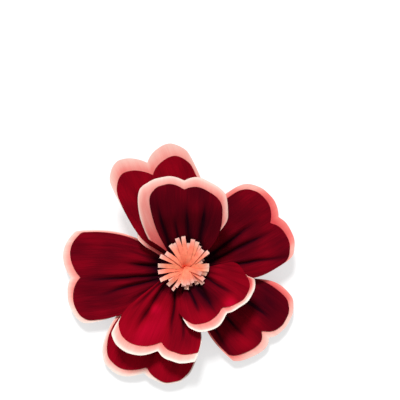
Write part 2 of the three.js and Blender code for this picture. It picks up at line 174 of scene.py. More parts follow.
outerLowerRight = {
    "node": "outer_petal_lower_right", "ring": "outer", "shoulder": lowShoulder, "heading": 317.5,
    "reach": 53, "front": 15, "back": 39, "left": 35, "right": 25, "square": 0.9,
    "notch": 9, "notchWidth": 4.5, "notchFill": 0.4, "notchAt": 4.5, "skew": 6,
    "tip": 8, "rootSlope": 0, "tipSlope": -0.1, "cup": 0.5, "margin": (3, 5.5, 4.5, 1.5),
    "folds": ((-3, 76, -8, 1.4), (9, 80, 17, 1)),
    "creases": ((-3, 76, -8, 1), (9, 80, 17, 1), (-9, 70, -24, 0.9)),
    "dyeAndShade": 0.95, "paleRimHighlight": 0.15, "blushAndShade": (0.4, 0.25), "sideFade": (10, 2), "sideEnd": (0.7, 1),
    "swells": ((64, 5, 7, 1.4, 0.35), (72, -14, 9, 1.2, 0.5), (60, 22, 13, 1.2, -0.3)),
    "seed": 3.9,
}
outerRight = {
    "node": "outer_petal_right", "ring": "outer", "shoulder": middleShoulder, "heading": 34,
    "reach": 47.5, "front": 19, "back": 46, "left": 25, "right": 38, "square": 0.9,
    "notch": 9, "notchWidth": 8, "notchFill": 0.4, "notchAt": -8, "skew": 0,
    "tip": 18, "rootSlope": 0.1, "tipSlope": 0.05, "cup": 1, "margin": (4, 4, 3.5, 0.5),
    "folds": ((-3.6, 70, -1.5, 1.8), (-6.5, 74, -14, 1.6), (-10, 74, -38, 1)),
    "creases": ((-3.6, 70, -1.5, 1.5), (-6.5, 74, -14, 1.4), (-10, 74, -38, 1), (4, 54, 14, 0.7)),
    "dyeAndShade": 0.85, "paleRimHighlight": 0.1, "blushAndShade": (0.2, 0.55), "notchBlushAndShade": 0.4,
    "sideFade": (2, 2), "sideEnd": (1, 1),
    "swells": ((52, 14, 14, 1.2, -0.15), (56, -24, 12, 1, 0.1), (50, -7, 4, 0.8, 0.15)),
    "seed": 5.1,
}
outerTopLeft = {
    "node": "outer_petal_top_left", "ring": "outer", "shoulder": highShoulder, "heading": 114,
    "reach": 47.5, "front": 24, "back": 44, "left": 22, "right": 36, "square": 0.76,
    "notch": 14, "notchWidth": 12, "notchFill": 0, "notchAt": -7.5, "skew": 0,
    "tip": 34, "rootSlope": 0.25, "tipSlope": 0.2, "cup": 1, "margin": (9.5, 9.5, 2, 3),
    "neckMargin": 3,
    "folds": ((5, 72, 10, 1.2), (-4, 76, -7, 1)),
    "creases": ((5, 72, 10, 1), (-4, 76, -7, 0.9), (-8, 66, -22, 0.9)),
    "dyeAndShade": 0.4, "paleRimHighlight": 0.1, "blushAndShade": (-0.1, 0), "sideFade": (10, 2), "sideEnd": (0.5, 1),
    "swells": ((56, 18, 12, 1.4, 0), (58, -16, 10, 1.2, 0)),
    "seed": 6.2,
}
innerBottom = {
    "node": "inner_petal_bottom", "ring": "inner", "shoulder": innerShoulder, "heading": 248,
    "reach": 40.5, "front": 14, "back": 28, "left": 32.5, "right": 29.5, "square": 0.98,
    "notch": 9, "notchWidth": 10, "notchFill": 0, "notchAt": 5, "skew": -4.5,
    "tip": 25, "rootSlope": 0, "tipSlope": 0.3, "cup": 1, "margin": (6.5, 7, 0.5, 3),
    "folds": ((-7.5, 60, -16.5, 1.8), (-1.5, 54, 11, 1.4), (5, 52, 21, 1.2)),
    "creases": ((-7.5, 60, -16.5, 1.4), (-1.5, 54, 11, 1.3), (5, 52, 21, 1.1), (-9, 44, -25, 0.7)),
    "dyeAndShade": 0.1, "paleRimHighlight": 0.45, "blushAndShade": (-0.15, 0), "sideFade": (10, 10), "sideEnd": (1, 0.6),
    "swells": ((35, -9, 4.5, 1.2, 0.75), (51, -6, 11, 1.4, 0.5), (44, -24, 8, 0.8, 0),
               (44, 20, 9, 0.8, -0.3)),
    "seed": 7.4,
}
innerLowerRight = {
    "node": "inner_petal_lower_right", "ring": "inner",
    "shoulder": innerShoulder + neck["levelStep"], "heading": 310,
    "reach": 14, "front": 21.5, "back": 12, "left": 33, "right": 23, "square": 0.78,
    "notch": 8, "notchWidth": 13, "notchFill": 0, "notchAt": 3.5, "skew": 5,
    "tip": 31, "rootSlope": 0.1, "tipSlope": 0.4, "cup": 1.5, "margin": (3, 6.5, 5, 1.5),
    "folds": ((0.5, 42, -2, 1.6), (7, 40, 16, 0.8)),
    "creases": ((0.5, 40, -2, 1.5), (-6, 34, -12, 0.9), (7, 38, 16, 0.8)),
    "dyeAndShade": 0.5, "paleRimHighlight": 0.75, "blushAndShade": (0.85, 0.05), "sideFade": (10, 10),
    "sideEnd": (0.52, 0.6), "sideBlend": 0.12,
    "swells": ((41, 10, 5, 1.2, 0.9), (36, -15, 8, 1.2, 0.35), (26, 12, 8, 1, 0.05),
               (24, 0, 8, 0, -0.3)),
    "seed": 8.8,
}
innerTop = {
    "node": "inner_petal_top", "ring": "inner", "shoulder": innerShoulder, "heading": 90,
    "reach": 38, "front": 13, "back": 41, "left": 24, "right": 28, "square": 0.88,
    "notch": 4, "notchWidth": 6, "notchFill": 0, "notchAt": -0.7, "skew": 2.5,
    "rightSetback": 7, "leftWaist": 0.26,
    "tip": 48, "rootSlope": 0.5, "tipSlope": 0.15, "cup": 3, "margin": (5.5, 7, 8.5, 4.5),
    "folds": ((8.5, 52, 20, 1.4), (-5, 54, -1, 1.4), (-11, 52, -16.5, 1.4)),
    "creases": ((8.5, 50, 20, 0.8), (-5, 52, -1, 0.7), (-11, 52, -16.5, 0.8), (2, 42, 7, 0.5)),
    "dyeAndShade": 1.1, "paleRimHighlight": 0.25, "blushAndShade": (0, 0.15), "sideFade": (1.6, 10),
    "sideEnd": (1, 0.66), "sideBlend": 0.12,
    "swells": ((40, 4, 8, 1.4, 0), (44, -10, 7, 1.4, 0.1), (38, 14, 5, 0.8, 0)),
    "seed": 9.6,
}
petals = (outerBottom, outerLowerRight, outerLeft, outerRight, outerTopLeft,
          innerBottom, innerLowerRight, innerTop)


def smooth(value, low, high):
    share = min(max((value - low) / (high - low), 0), 1)
    return share * share * (3 - 2 * share)


def powered(value, exponent):
    return math.copysign(abs(value) ** exponent, value)


def mix(start, end, share):
    return start + (end - start) * share


# Half angles of the claws, which leave a gap between the neighbours in a ring
def setClawSpans(ringName):
    ring = sorted((p for p in petals if p["ring"] == ringName), key=lambda p: p["heading"])
    room = (neck["clawMargin"] + neck["gap"] / 2) / (neck[ringName + "Claw"] - neck["solidPaper"])
    for index, petal in enumerate(ring):
        following = ring[(index + 1) % len(ring)]
        step = math.radians((following["heading"] - petal["heading"]) % 360)
        span = min(step / 2 - room, math.radians(neck[ringName + "Widest"]))
        petal["leftSpan"] = span
        following["rightSpan"] = span


def shoulderRadius(petal):
    return neck[petal["ring"] + "Claw"] + neck[petal["ring"] + "Flare"]


def clawAngle(petal, across):
    return across * (petal["leftSpan"] if across > 0 else petal["rightSpan"])


def notchDip(petal, y):
    return petal["notch"] * math.exp(-abs(y - petal["notchAt"]) / petal["notchWidth"])


# Rounded lobe with a notch: turn 0 points out along the petal, positive turns go left
def lobePoint(petal, turn):
    ahead = powered(math.cos(turn), petal["square"])
    aside = powered(math.sin(turn), petal["square"])
    setback = petal.get("rightSetback", 0) if turn < 0 else 0
    waist = petal.get("leftWaist", 0) * max(-math.cos(turn), 0) if turn > 0 else 0
    y = aside * (petal["left"] * (1 - waist) if aside > 0 else petal["right"])
    depth = petal["front"] + setback if ahead > 0 else petal["back"] - setback
    dip = notchDip(petal, y) * min(max(rimCut["notchHold"] * math.cos(turn), 0), 1)
    lean = petal["skew"] * aside * max(ahead, 0)
    widest = shoulderRadius(petal) + petal["reach"] - setback
    return Vector((widest + depth * ahead + lean - dip, y))


# The side of a petal is straight from its shoulder to where it touches the lobe
def touchingTurn(petal, side):
    angle = clawAngle(petal, side)
    start = Vector((math.cos(angle), math.sin(angle))) * shoulderRadius(petal)
    best = (-math.inf, 0)
    for degrees in range(91, 180):
        turn = side * math.radians(degrees)
        point = lobePoint(petal, turn)
        spread = math.atan2(side * (point.y - start.y), point.x - start.x)
        best = max(best, (spread, turn), key=lambda found: found[0])
    return best[1]


# across runs from -1 at the right side through 0 at the notch to 1 at the left side
def rimPoint(petal, across):
    notchSide = petal["left"] if petal["notchAt"] > 0 else petal["right"]
    notchTurn = math.asin(petal["notchAt"] / notchSide)
    end = petal["leftTurn"] if across > 0 else petal["rightTurn"]
    rim = lobePoint(petal, mix(notchTurn, end, abs(across)))
    cut = noise.noise(Vector((across * rimCut["wanders"], petal["seed"], noiseRows["cut"])))
    cut *= 1 - abs(across) ** rimCut["trueSides"]
    return rim + rim.normalized() * (rimCut["handCut"] * cut)


# How much further out than the facing the backing is set
def backingMargin(petal, across, along):
    here = rimPoint(petal, across)
    before = rimPoint(petal, max(across - marginShape["probe"], -1))
    after = rimPoint(petal, min(across + marginShape["probe"], 1))
    run = after - before
    frontLeft, frontRight, left, right = petal["margin"]
    blend = marginShape["lobeBlend"]
    front = mix(frontRight, frontLeft, smooth(across, -blend, blend))
    sidewaysRim = marginShape["sidewaysRim"]
    facesOut = smooth(run.y / max(run.length, marginShape["leastRun"]), -sidewaysRim, sidewaysRim)
    outward = (front + petal["notchFill"] * notchDip(petal, here.y)) * facesOut
    sideways = (left if across > 0 else -right) * smooth(abs(across), *marginShape["sideFrom"])
    side = 0 if across > 0 else 1
    end = petal["sideEnd"][side]
    ended = smooth(abs(across), end, end + petal.get("sideBlend", marginShape["sideBlend"]))
    taper = along ** petal["sideFade"][side] * (1 - ended)
    sideways *= mix(marginShape["tuckedIn"], 1, taper)
    sideways += petal.get("neckMargin", 0) * smooth(across, *marginShape["neckFrom"])
    return Vector((outward * along, sideways * smooth(along, 0, marginShape["shoulderBlend"])))


# Height of the pair of plies over a place in the plan, without folds
def bladeHeight(petal, place):
    length = petal["reach"] + petal["front"]
    s = (place.length - shoulderRadius(petal)) / length
    rise = petal["tip"] - petal["shoulder"]
    spine = petal["shoulder"] + rise * s * s * (3 - 2 * s)  # level at both ends, then given its slopes
    spine += petal["rootSlope"] * length * s * (1 - s) ** 2
    spine -= petal["tipSlope"] * length * s * s * (1 - s)
    aside = place.y / max(petal["left"], petal["right"])
    return spine + smooth(s, 0, paper["cupOnset"]) * petal["cup"] * aside * aside


# Grain of the crepe: lines that run straight out and draw together at the neck
def grainAt(petal, place):
    beyond = max(place.x - shoulderRadius(petal), 0) / paper["grainReach"]
    return place.y * (1 + paper["grainGather"] * math.exp(-beyond))


# Broad folds, and the sharper creases with a low ridge on each side
fold = {
    "widths": (2, 4),  # at the shoulder, and at the far end
    "onset": 6,  # beyond the shoulder, where a fold is full
    "fadeFrom": 0.4,  # share of its length
    "shade": 0.3,
}
crease = {
    "widths": (0.7, 1.7),
    "onset": 5,
    "fade": (0.5, 1.02),
    "wander": 0.9,
    "wanderScale": 0.07,
    "wanderOnset": 0.4,
    "ridgeAside": 2.6,  # in widths of the crease, as the ridge's own width is
    "ridgeWidth": 1.4,
    "ridgeHeight": 0.4,  # share of the crease's depth
}
# Crinkles, with their depths, and how many lie in a millimetre or a radian
crinkle = {
    "onset": 9,
    "gather": 0.9,
    "gatherScale": 9,
    "gatherFade": (18, 52),  # radii
    "ripple": 0.56,
    "rippleScale": (0.16, 0.018),  # across the grain, and along it
    "ridge": 0.18,
    "ridgeScale": (0.75, 0.05),
    "ruffle": 1.6,
    "ruffleScale": 2.6,
    "ruffleFrom": (0.45, 1.05),  # shares of the petal's length
}
noiseRows = {"cut": 3, "gather": 0, "ridge": 4, "ruffle": 9, "pink": 2}  # keep the patterns apart


# Height of the folds over a place in the plan, and how far it counts as shaded by their creases
def creaseDepth(petal, place):
    start = shoulderRadius(petal)
    beyond = place.x - start
    height = 0
    shade = 0
    for nearLeft, farX, farLeft, depth in petal["folds"]:
        share = beyond / (farX - start)
        off = place.y - mix(nearLeft, farLeft, share)
        width = mix(*fold["widths"], min(max(share, 0), 1))
        fade = smooth(beyond, 0, fold["onset"]) * (1 - smooth(share, fold["fadeFrom"], 1))
        valley = math.exp(-(off / width) ** 2)
        height -= depth * fade * valley
        shade += fold["shade"] * fade * valley * depth
    for nearLeft, farX, farLeft, depth in petal["creases"]:
        share = beyond / (farX - start)
        wander = noise.noise(Vector((place.x * crease["wanderScale"], nearLeft, petal["seed"])))
        wander *= crease["wander"] * smooth(share, 0, crease["wanderOnset"])
        off = place.y - mix(nearLeft, farLeft, share) - wander
        width = mix(*crease["widths"], min(max(share, 0), 1))
        fade = smooth(beyond, 0, crease["onset"]) * (1 - smooth(share, *crease["fade"]))
        valley = math.exp(-(off / width) ** 2)
        aside = (abs(off) - crease["ridgeAside"] * width) / (crease["ridgeWidth"] * width)
        height += depth * fade * (crease["ridgeHeight"] * math.exp(-aside ** 2) - valley)
        shade = max(shade, fade * valley * min(depth, 1))
    return height, min(shade, 1)


def swelling(petal, place):
    height = 0
    paintedLight = 0
    for ahead, left, radius, rise, light in petal["swells"]:
        near = math.exp(-((place.x - ahead) ** 2 + (place.y - left) ** 2) / radius ** 2)
        height += rise * near
        # the last column is painted light: a highlight, below zero a shade
        paintedLight += light * near
    return height, paintedLight


def foldHeight(petal, place):
    radius = place.length
    angle = math.atan2(place.y, place.x)
    beyond = radius - shoulderRadius(petal)
    onset = smooth(beyond, 0, crinkle["onset"])
    outer = smooth(beyond / (petal["reach"] + petal["front"]), *crinkle["ruffleFrom"])
    grain = grainAt(petal, place)
    seed = petal["seed"]
    gather = noise.noise(Vector((angle * crinkle["gatherScale"], seed, noiseRows["gather"])))
    across, along = crinkle["rippleScale"]
    ripple = noise.noise(Vector((grain * across, radius * along, seed)))
    across, along = crinkle["ridgeScale"]
    ridge = noise.noise(Vector((grain * across, radius * along, seed + noiseRows["ridge"])))
    ruffle = noise.noise(Vector((angle * crinkle["ruffleScale"], seed + noiseRows["ruffle"], 0)))
    height = creaseDepth(petal, place)[0] + swelling(petal, place)[0]
    height += crinkle["gather"] * gather * onset * (1 - smooth(radius, *crinkle["gatherFade"]))
    height += onset * (crinkle["ripple"] * ripple + crinkle["ridge"] * ridge)
    return height + crinkle["ruffle"] * outer * ruffle


# Dye of the red ply, from 0 where it is lightest to 1 in the folds and down by the neck: the paper's dye
# with its clouds, painted shade in the folds, by the neck and on shaded petals, and painted highlights
# on the swells
redDyeAndShading = {
    "base": 0.4,
    # each petal's deeper dye, partly painted shade on the petals that lie in shade
    "petal": 0.3,
    "cloud": 0.14,
    "cloudScale": (0.05, 0.09),
    # painted highlight on the swells, painted shade where a swell's value is below zero
    "swellPaintedLight": 0.5,
    # painted shade in the folds and creases
    "crease": 0.5,
    # painted shade down by the neck, and deeper still in the claws
    "neck": 0.5,
    "neckFade": (-2, 16),  # beyond the shoulder
    "claw": 0.9,
}


def redDyeAndShade(petal, place):
    shade = creaseDepth(petal, place)[1]
    beyond = place.length - shoulderRadius(petal)
    neckShade = 1 - smooth(beyond, *redDyeAndShading["neckFade"])
    ahead, aside = redDyeAndShading["cloudScale"]
    cloud = noise.noise(Vector((place.x * ahead, place.y * aside, petal["seed"])))
    level = redDyeAndShading["base"] + redDyeAndShading["petal"] * petal["dyeAndShade"] + redDyeAndShading["cloud"] * cloud
    # painted highlight on the swells
    level -= redDyeAndShading["swellPaintedLight"] * swelling(petal, place)[1]
    # painted shade in the creases and down by the neck
    level += redDyeAndShading["crease"] * shade + redDyeAndShading["neck"] * neckShade
    return min(max(level, 0), 1)


# Tone of the pink ply, from 0, coral, through 0.5 to 1, cream: the paper's pink, with painted shade
# in coral by the neck, in the claws and at the sides, and painted highlights in cream at the rims
pinkToneAndShading = {
    "base": 0.36,
    # paler towards the rim, partly a painted highlight
    "rim": 0.22,
    "rimFrom": (0.88, 0.98),  # shares of the way along
    "paleFrom": (0.95, 1),
    "blushFrom": (0.25, 0.7),  # shares of the way across
    "notchTo": (0.15, 0.45),
    # painted shade: deeper coral towards the neck
    "neck": 0.4,
    "neckFade": (16, 40),  # radii
    "cloud": 0.12,
    "cloudScale": 0.08,
    # painted shade in the claws
    "claw": 0.1,
}


def pinkToneAndShade(petal, place, across, along):
    left, right = petal["blushAndShade"]
    toneAndShade = pinkToneAndShading["base"] + pinkToneAndShading["rim"] * smooth(along, *pinkToneAndShading["rimFrom"])
    # painted highlight at the rim
    toneAndShade += petal["paleRimHighlight"] * smooth(along, *pinkToneAndShading["paleFrom"])
    # coral at the sides and notch, partly painted shade, and painted light where it is below zero
    toneAndShade -= (left if across > 0 else right) * smooth(abs(across), *pinkToneAndShading["blushFrom"])
    toneAndShade -= petal.get("notchBlushAndShade", 0) * (1 - smooth(abs(across), *pinkToneAndShading["notchTo"]))
    # painted shade towards the neck
    toneAndShade -= pinkToneAndShading["neck"] * (1 - smooth(place.length, *pinkToneAndShading["neckFade"]))
    scale = pinkToneAndShading["cloudScale"]
    cloud = noise.noise(Vector((place.x * scale, place.y * scale, petal["seed"] + noiseRows["pink"])))
    return min(max(toneAndShade + pinkToneAndShading["cloud"] * cloud, 0), 1)


def unfoldedNormal(petal, place):
    here = bladeHeight(petal, place)
    alongX = (bladeHeight(petal, place + Vector((slopeStep, 0))) - here) / slopeStep
    alongY = (bladeHeight(petal, place + Vector((0, slopeStep))) - here) / slopeStep
    return Vector((-alongX, -alongY, 1)).normalized()


# A point of one ply in the petal's own frame, its grain and distance from the neck, and its tone, which
# carries painted shade and highlights
def plyPoint(petal, across, upTheSheet, backing):
    offset = paper["plyOffset"] * (-1 if backing else 1)
    # the claws, deep in the neck, take a painted shade
    clawShade = pinkToneAndShading["claw"] if backing else redDyeAndShading["claw"]
    angle = clawAngle(petal, across)
    ray = Vector((math.cos(angle), math.sin(angle)))
    claw = neck[petal["ring"] + "Claw"]
    outer = shoulderRadius(petal)
    top = petal["shoulder"]
    bendStart = top - neck[petal["ring"] + "Bend"]
    bendCorner = top - petal["rootSlope"] * neck[petal["ring"] + "Flare"]
    clawShare = paper["clawShare"]
    straightPart = clawShare * paper["straightShare"]
    if upTheSheet < straightPart:
        height = mix(neck["foot"], bendStart, upTheSheet / straightPart)
        radius = claw - offset
        grain = (grainAt(petal, ray * outer), height - outer - paper["clawGrain"])
        return Vector((ray.x * radius, ray.y * radius, height)), grain, clawShade
    if upTheSheet < clawShare:
        t = (upTheSheet - straightPart) / (clawShare - straightPart)
        radius = (1 - t * t) * claw + t * t * outer
        height = (1 - t) ** 2 * bendStart + 2 * t * (1 - t) * bendCorner + t * t * top
        alongR = 2 * t * (outer - claw)
        alongZ = 2 * (1 - t) * (bendCorner - bendStart) + 2 * t * (top - bendCorner)
        tangent = Vector((alongR, alongZ)).normalized()
        radius -= tangent.y * offset
        height += tangent.x * offset
        grain = (grainAt(petal, ray * outer), (t - 1) * paper["bendGrain"])
        return Vector((ray.x * radius, ray.y * radius, height)), grain, clawShade
    along = (upTheSheet - clawShare) / (1 - clawShare)
    place = (ray * outer).lerp(rimPoint(petal, across), along)
    if backing:
        place += backingMargin(petal, across, along)
    middle = Vector((place.x, place.y, bladeHeight(petal, place) + foldHeight(petal, place)))
    toneAndShade = pinkToneAndShade(petal, place, across, along) if backing else redDyeAndShade(petal, place)
    grain = (grainAt(petal, place), place.length - outer)
    return middle + unfoldedNormal(petal, place) * offset, grain, toneAndShade


def newPiece(name, bm, material):
    mesh = bpy.data.meshes.new(name)
    bm.to_mesh(mesh)
    bm.free()
    for polygon in mesh.polygons:
        polygon.use_smooth = True
    mesh.set_sharp_from_angle(angle=math.radians(cutEdge))
    mesh.materials.append(material)
    piece = bpy.data.objects.new(name, mesh)
    bpy.context.scene.collection.objects.link(piece)
    return piece


# Gives a sheet its thickness, half to each side: its copy and itself move apart along their normals
def thicken(bm, thickness):
    bm.normal_update()
    bmesh.ops.extrude_face_region(bm, geom=bm.faces[:], use_keep_orig=True)
    for vertex in bm.verts:
        vertex.co += vertex.normal * (thickness / 2 * mm)
    bmesh.ops.recalc_face_normals(bm, faces=bm.faces[:])


# One ply: a grid whose columns run from claw to rim, moved onto the petal's surface.
# Its grain map runs across the grain, then along it
def makePly(petal, backing, material):
    word = "backing" if backing else "facing"
    bm = bmesh.new()
    uvLayer = bm.loops.layers.uv.new("grain")
    bmesh.ops.create_grid(bm, x_segments=paper["columns"], y_segments=paper["rows"], size=1)
    turn = math.radians(petal["heading"])
    cosTurn, sinTurn = math.cos(turn), math.sin(turn)
    grains = {}
    toneAndShadeLayer = bm.verts.layers.float.new("toneAndShade")
    for vertex in bm.verts:
        across = vertex.co.x
        upTheSheet = (vertex.co.y + 1) / 2
        point, grain, toneAndShade = plyPoint(petal, across, upTheSheet, backing)
        vertex[toneAndShadeLayer] = toneAndShade
        grains[vertex.index] = (grain[0] * mm, grain[1] * mm)
        x = point.x * cosTurn - point.y * sinTurn
        y = point.x * sinTurn + point.y * cosTurn
        vertex.co = Vector((x, y, point.z)) * mm
    for face in bm.faces:
        for loop in face.loops:
            loop[uvLayer].uv = grains[loop.vert.index]
    bmesh.ops.recalc_face_normals(bm, faces=bm.faces[:])
    thicken(bm, paper["thickness"])
    node = petal["node"] + "_" + word
    piece = newPiece(node + "_crepe", bm, material)
    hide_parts(node)
    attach(piece, "root")


def shaderNodes(name):
    material = bpy.data.materials.new(name)
    material.use_nodes = True
    nodes = material.node_tree.nodes
    links = material.node_tree.links
    nodes.clear()
    output = nodes.new("ShaderNodeOutputMaterial")
    shader = nodes.new("ShaderNodeBsdfPrincipled")
    links.new(shader.outputs["BSDF"], output.inputs["Surface"])
    return material, nodes, links, shader


def linear(red, green, blue):
    def one(value):
        share = value / 255
        return share / 12.92 if share <= 0.04045 else ((share + 0.055) / 1.055) ** 2.4
    return (one(red), one(green), one(blue), 1)


def ramp(nodes, *stops):
    node = nodes.new("ShaderNodeValToRGB")
    elements = node.color_ramp.elements
    while len(elements) < len(stops):
        elements.new(0.5)
    for element, (position, colour) in zip(elements, stops):
        element.position = position
        element.color = colour
    return node


def noiseNode(nodes, scale, detail=2):
    node = nodes.new("ShaderNodeTexNoise")
    node.inputs["Scale"].default_value = scale
    node.inputs["Detail"].default_value = detail
    return node


def mathNode(nodes, operation, second=0.5):
    node = nodes.new("ShaderNodeMath")
    node.operation = operation
    node.inputs[1].default_value = second
    return node


def multiplied(nodes, links, first, second):
    node = nodes.new("ShaderNodeMix")
    node.data_type = "RGBA"
    node.blend_type = "MULTIPLY"
    node.inputs["Factor"].default_value = 1
    links.new(first, node.inputs["A"])
    links.new(second, node.inputs["B"])
    return node.outputs["Result"]


def addBump(nodes, links, shader, height, strength, distance):
    node = nodes.new("ShaderNodeBump")
    node.inputs["Strength"].default_value = strength
    node.inputs["Distance"].default_value = distance
    links.new(height, node.inputs["Height"])
    links.new(node.outputs["Normal"], shader.inputs["Normal"])


# Both crepes: their grain, and then each one's colours, from painted highlight to painted shade, and how
# unevenly it took its dye
crepeGrain = {
    "stretch": 0.06,  # along the grain
    "fineScale": 1300,
    "broadScale": 260,
    "detail": 3,
    "fineRoughness": 0.6,
    "ridgeHeight": 0.0004,
    "roughness": 0.85,
}
redCrepe = {
    # crimson for painted highlights, the lit red at 0.4, and deeper reds for painted shade and the
    # deeper-dyed petals
    "tones": (
        (0.0, linear(200, 2, 46)),
        (0.4, linear(150, 1, 24)),
        (0.7, linear(92, 0, 16)),
        (1.0, linear(36, 0, 13)),
    ),
    "fineShare": 0.23,
    "broadShare": 0.22,
    "bump": 0.6,
    "specular": 0.04,
}
pinkCrepe = {
    # coral for painted shade, the paper's pink, and cream for painted highlights
    "tones": (
        (0.0, linear(222, 78, 82)),
        (0.25, linear(244, 122, 116)),
        (0.5, linear(255, 178, 166)),
        (1.0, linear(255, 238, 226)),
    ),
    "fineShare": 0.12,
    "broadShare": 0.18,
    "bump": 0.5,
    "specular": 0.1,
}


# Crepe: fine ridges along the grain, dye that sits unevenly in them, and the petal's tone with its
# painted shade and highlights
def crepeMaterial(name, look):
    material, nodes, links, shader = shaderNodes(name)
    grainMap = nodes.new("ShaderNodeUVMap")
    grainMap.uv_map = "grain"
    stretch = nodes.new("ShaderNodeMapping")
    stretch.inputs["Scale"].default_value = (1, crepeGrain["stretch"], 1)
    links.new(grainMap.outputs["UV"], stretch.inputs["Vector"])
    fine = noiseNode(nodes, crepeGrain["fineScale"], crepeGrain["detail"])
    fine.inputs["Roughness"].default_value = crepeGrain["fineRoughness"]
    links.new(stretch.outputs["Vector"], fine.inputs["Vector"])
    broad = noiseNode(nodes, crepeGrain["broadScale"], crepeGrain["detail"])
    links.new(stretch.outputs["Vector"], broad.inputs["Vector"])
    toneAndShade = nodes.new("ShaderNodeAttribute")
    toneAndShade.attribute_name = "toneAndShade"
    fineShare = mathNode(nodes, "MULTIPLY_ADD", look["fineShare"])
    links.new(fine.outputs["Fac"], fineShare.inputs[0])
    links.new(toneAndShade.outputs["Fac"], fineShare.inputs[2])
    broadShare = mathNode(nodes, "MULTIPLY_ADD", look["broadShare"])
    links.new(broad.outputs["Fac"], broadShare.inputs[0])
    links.new(fineShare.outputs["Value"], broadShare.inputs[2])
    centred = mathNode(nodes, "SUBTRACT", (look["fineShare"] + look["broadShare"]) / 2)
    links.new(broadShare.outputs["Value"], centred.inputs[0])
    dyeAndShade = ramp(nodes, *look["tones"])
    links.new(centred.outputs["Value"], dyeAndShade.inputs["Fac"])
    links.new(dyeAndShade.outputs["Color"], shader.inputs["Base Color"])
    addBump(nodes, links, shader, fine.outputs["Fac"], look["bump"], crepeGrain["ridgeHeight"])
    shader.inputs["Roughness"].default_value = crepeGrain["roughness"]
    shader.inputs["Specular IOR Level"].default_value = look["specular"]
    return material


# Fringe of the rolled strip: the strips whose tips show, and rings of shorter ones under them
roll = {
    "radius": 4.3,
    "top": innerShoulder - 2,
    "waistDepth": 0.8,  # how far the wire pulls the roll in, and between which heights
    "waist": (2, 5.4),
    "waistEnd": 6.3,
    "footRadius": 3.9,
    "edge": 0.4,
    "sides": 48,
    "grain": (0.004, 0.2),  # its turns in the grain map, per radian, and their place in the colours
}
fringe = {
    "stripWidth": 3.1,
    "rootWidth": 1.2,
    "fullWidthAt": 0.5,  # share of a strip's length
    "thickness": 0.3,
    "crown": (3.4, 1.6),  # where the strips part, right of the axis and up from it
    "rootDepth": 1,  # how far down in the roll a strip starts
    "stemLean": 0.3,  # share of the way to the crown, and of the rise, at the stem's bend
    "stemRise": 0.75,
    "bend": 0.1,  # share of a strip's reach at which it turns level
    "arch": 1.6,
    "steps": 14,
    "hollow": 0.1,  # across a strip
    "rampLength": 16,  # from the tip to where a strip has the colour of the roll
    "rampWidth": 0.02,  # width of a strip in the grain map, where each one has its own number
    "ragged": 0.3,  # unevenness of the rings: of reach, of spacing and of height
    "spacingWobble": 0.6,
    "riseWobble": 1.5,
    "spacingNoise": (1.7, 0.5),  # step from strip to strip, and row
    "reachNoise": (2.3, 7.5),
    # a tip's place right of the axis and up from it, its height over the roll, the strip's twist,
    # and its root's distance from the axis, below zero for strips that cross over the middle
    "strips": (
        (-6.5, 19, 10.8, 0.1, 1.4), (3.9, 19, 10.6, 0, 1.4), (11.7, 17.2, 11, -0.2, 1.4),
        (13.5, 6, 10.8, 0.2, 1.4), (-9.5, 17.8, 12.3, 0.1, 1), (-12.8, 12, 11.8, 0.3, 1),
        (-16.9, 9.6, 10.8, 0.1, 1), (-4.7, 22.6, 12.6, 0.1, 1), (-0.2, 23.9, 12, 0, 1),
        (7, 21.8, 12.7, -0.1, 1), (10.2, 20, 12, 0.1, 1), (14, 14.2, 12.4, -0.3, 1),
        (18.2, 12.8, 11.6, -0.4, 1), (18.6, 2.7, 11.4, 0.2, 1), (18.4, -0.3, 11, -0.1, 1),
        (16.9, -3.7, 9.6, 0.5, 1.4), (13, -3.2, 12.4, 0.3, -1.2), (14.8, -7.8, 10.4, -0.3, 1),
        (14.3, -10.8, 8.8, 0.5, 1.4), (6.5, -9.9, 12, -0.5, -1.2), (2.2, -14.7, 9.6, 0.1, 1.4),
        (-0.2, -12.6, 10.8, -0.5, 1), (3.2, -11, 13, 0.1, -1.6), (0.4, -11.7, 12.8, 0.1, -1.6),
        (-1.7, -10.2, 12.2, 0.5, -1), (-5.4, -12.8, 11.2, 0.6, 1), (-8, -15.4, 8.4, 0.9, 1.4),
        (-11.3, -11.7, 10.5, -0.4, 1), (-11, -7.6, 9.8, 0.8, 1), (-16.9, -8, 10.2, 0.3, 1),
        (-18.4, -2.1, 10.6, 0.2, 1), (-18.4, 2.8, 11.2, -0.2, 1),
    ),
    "rings": (
        {"count": 19, "root": 3.9, "reach": 12.5, "rise": 6},
        {"count": 16, "root": 3, "reach": 11.5, "rise": 8.5},
    ),
}


# Control points of a strip's curve, from the roll to its tip
def stripCurve(tip, rise, rootRadius):
    crown = Vector(fringe["crown"])
    out = (tip - crown).normalized()
    turn = crown + out * (fringe["bend"] * (tip - crown).length)
    root = out * rootRadius
    low = roll["top"] - fringe["rootDepth"]
    high = roll["top"] + rise
    stem = root.lerp(crown, fringe["stemLean"])
    return (
        Vector((root.x, root.y, low)),
        Vector((stem.x, stem.y, low + fringe["stemRise"] * rise)),
        Vector((turn.x, turn.y, high + fringe["arch"])),
        Vector((tip.x, tip.y, high)),
    )


def curvePoint(points, along):
    while len(points) > 2:
        points = [start.lerp(end, along) for start, end in zip(points, points[1:])]
    return points[0].lerp(points[1], along), (points[1] - points[0]).normalized()


